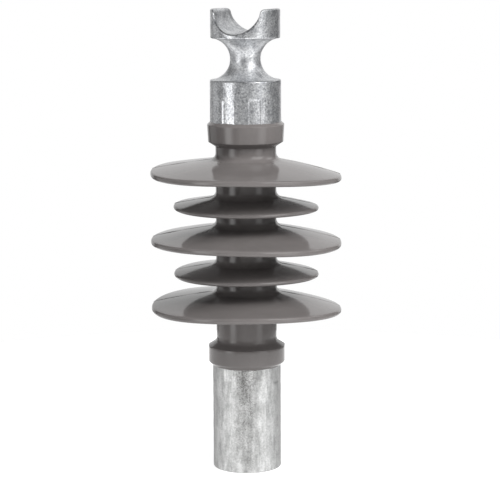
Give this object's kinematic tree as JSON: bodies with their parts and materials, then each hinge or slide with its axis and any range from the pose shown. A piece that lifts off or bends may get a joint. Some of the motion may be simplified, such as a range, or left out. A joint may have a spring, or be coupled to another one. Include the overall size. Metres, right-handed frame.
{
  "type": "pin insulator",
  "caption": "Composite pin insulator: grey silicone rubber sheds on a fibreglass rod, galvanised steel saddle head with a tie-wire neck, and a plain steel base bored for a line pin.",
  "frame": {"origin": "centre of the base fitting's lower face", "axes": "+Z along the insulator towards the saddle head; the saddle groove runs along Y"},
  "size_m": [0.134, 0.134, 0.325],
  "materials": {
    "head_zinc": "hot-dip galvanised, bright, with spangle",
    "base_zinc": "hot-dip galvanised, dull, mottled along its length",
    "silicone": "satin moulded silicone rubber, warm grey",
    "fibreglass": "pultruded fibreglass rod, fine lengthwise grain",
    "seal_rubber": "matt black rubber"
  },
  "bodies": {
    "root": {"base_fitting": "base_zinc", "base_seal_ring": "seal_rubber", "core_rod": "fibreglass", "housing": "silicone", "head_seal_ring": "seal_rubber", "head_fitting": "head_zinc"}
  },
  "joints": []
}
